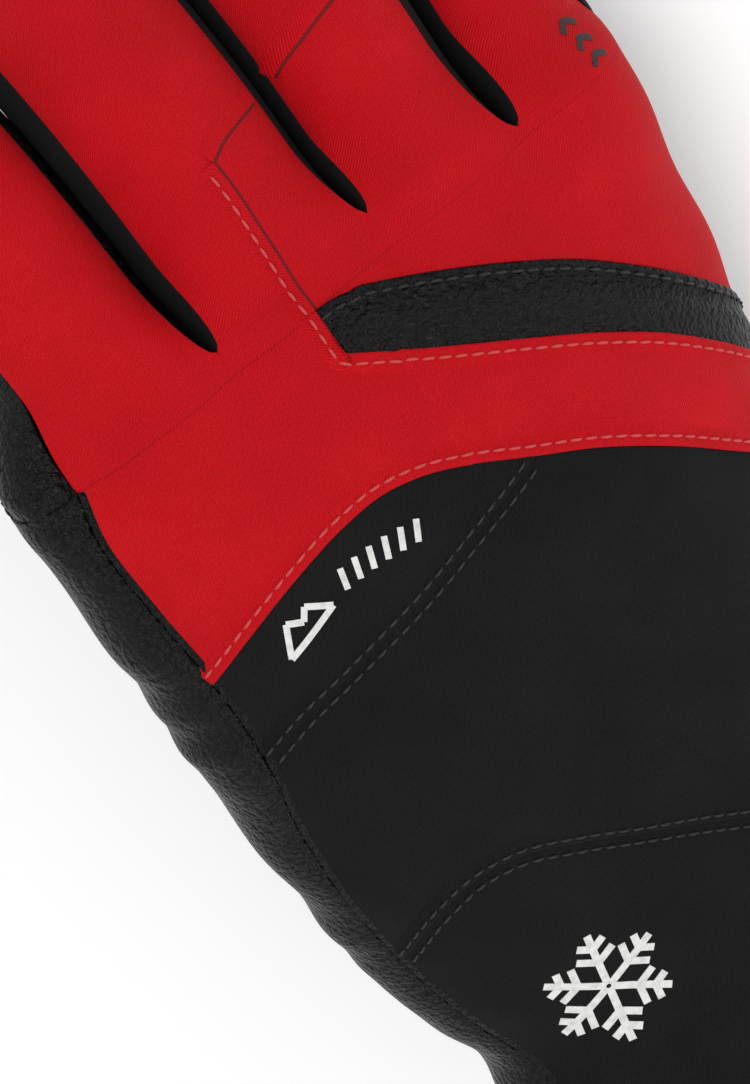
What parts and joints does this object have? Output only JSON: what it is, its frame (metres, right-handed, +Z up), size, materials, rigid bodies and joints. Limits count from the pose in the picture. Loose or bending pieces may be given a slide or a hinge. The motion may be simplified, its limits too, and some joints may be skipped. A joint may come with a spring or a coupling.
{
  "type": "ski glove",
  "caption": "Right-hand insulated ski glove with leather palm, folding fingers, swinging thumb, peel-open wrist strap and a clip for carrying the pair.",
  "frame": {"origin": "on the floor under the middle of the glove as it lies palm down on its thumb, its smallest fingertip and the lower edge of its cuff", "axes": "+Y from the cuff to the fingertips, +X towards the smallest finger, +Z up, out of the back of the hand; the hand is rolled with its thumb side raised"},
  "size_m": [0.1178, 0.2722, 0.0763],
  "materials": {
    "red_shell": "woven twill shell, matt",
    "black_softshell": "fine softshell weave, matt",
    "black_leather": "pebbled goat leather, soft sheen",
    "insulation": "fibre fill",
    "membrane": "thin film",
    "lining": "brushed fleece",
    "webbing": "woven webbing",
    "hook_and_loop": "hook and loop tape",
    "pull_rubber": "moulded, satin",
    "white_print": "transfer print, satin",
    "clip_plastic": "moulded nylon",
    "binding": "elastic knit tape"
  },
  "bodies": {
    "glove": {"index_side_panel": "black_leather", "wrist_yoke": "black_softshell", "cuff_back_panel": "black_softshell", "wrist_panel": "black_softshell", "back_panel_main": "red_shell", "knuckle_band": "black_leather", "back_panel_outer": "red_shell", "palm_panel": "black_leather", "heel_panel": "black_softshell", "cuff_under_panel": "black_softshell", "hand_insulation": "insulation", "hand_membrane": "membrane", "hand_lining": "lining", "palm_patch": "black_leather", "wrist_elastic": "binding", "cuff_emblem": "white_print", "back_label": "white_print", "finger_web": "black_softshell", "thumb_collar": "lining", "cuff_binding": "binding", "strap_loop_patch": "hook_and_loop", "strap_anchor": "webbing", "hang_loop": "webbing", "clip_web": "webbing"},
    "index_finger": {"index_back": "red_shell", "index_side_wall": "black_softshell", "index_palm": "black_leather", "index_insulation": "insulation", "index_membrane": "membrane", "index_lining": "lining"},
    "middle_finger": {"middle_back": "red_shell", "middle_side_wall": "black_softshell", "middle_palm": "black_leather", "middle_insulation": "insulation", "middle_membrane": "membrane", "middle_lining": "lining"},
    "ring_finger": {"ring_back": "red_shell", "ring_side_wall": "black_softshell", "ring_palm": "black_leather", "ring_insulation": "insulation", "ring_membrane": "membrane", "ring_lining": "lining"},
    "little_finger": {"little_back": "red_shell", "little_side_wall": "black_softshell", "little_palm": "black_leather", "little_insulation": "insulation", "little_membrane": "membrane", "little_lining": "lining"},
    "thumb": {"thumb_inner_face": "black_leather", "thumb_outer_face": "black_leather", "thumb_side_wall": "black_leather", "thumb_insulation": "insulation", "thumb_membrane": "membrane", "thumb_lining": "lining"},
    "strap": {"strap_tab": "webbing", "strap_hook_patch": "hook_and_loop", "strap_pull": "pull_rubber"},
    "clip": {"pair_clip": "clip_plastic"}
  },
  "joints": [
    {"name": "index_flex", "type": "hinge", "parent": "glove", "child": "index_finger", "pos_m": [-0.03194, 0.06796, 0.05734], "axis": [-0.9168, -0.0592, 0.395], "range_deg": [0, 45], "stiffness_Nm_per_rad": 0.08, "springref_deg": -14.32},
    {"name": "middle_flex", "type": "hinge", "parent": "glove", "child": "middle_finger", "pos_m": [-0.00272, 0.06916, 0.04599], "axis": [-0.9169, -0.0419, 0.3969], "range_deg": [0, 45], "stiffness_Nm_per_rad": 0.08, "springref_deg": -14.32},
    {"name": "ring_flex", "type": "hinge", "parent": "glove", "child": "ring_finger", "pos_m": [0.02328, 0.07055, 0.03279], "axis": [-0.9168, -0.0245, 0.3986], "range_deg": [0, 45], "stiffness_Nm_per_rad": 0.08, "springref_deg": -14.32},
    {"name": "little_flex", "type": "hinge", "parent": "glove", "child": "little_finger", "pos_m": [0.04494, 0.07193, 0.01951], "axis": [-0.9157, 0.0103, 0.4018], "range_deg": [0, 45], "stiffness_Nm_per_rad": 0.08, "springref_deg": -14.32},
    {"name": "thumb_swing", "type": "hinge", "parent": "glove", "child": "thumb", "pos_m": [-0.04154, -0.01945, 0.01927], "axis": [0.3991, -0.0962, 0.9119], "range_deg": [0, 50], "stiffness_Nm_per_rad": 0.1, "springref_deg": -17.19},
    {"name": "strap_peel", "type": "hinge", "parent": "glove", "child": "strap", "pos_m": [0.02472, -0.10739, 0.05222], "axis": [0, 0.9945, 0.1049], "range_deg": [0, 120]},
    {"name": "clip_swing", "type": "hinge", "parent": "glove", "child": "clip", "pos_m": [-0.04275, -0.10861, 0.06378], "axis": [0, 0.9945, 0.1049], "range_deg": [0, 140]}
  ]
}
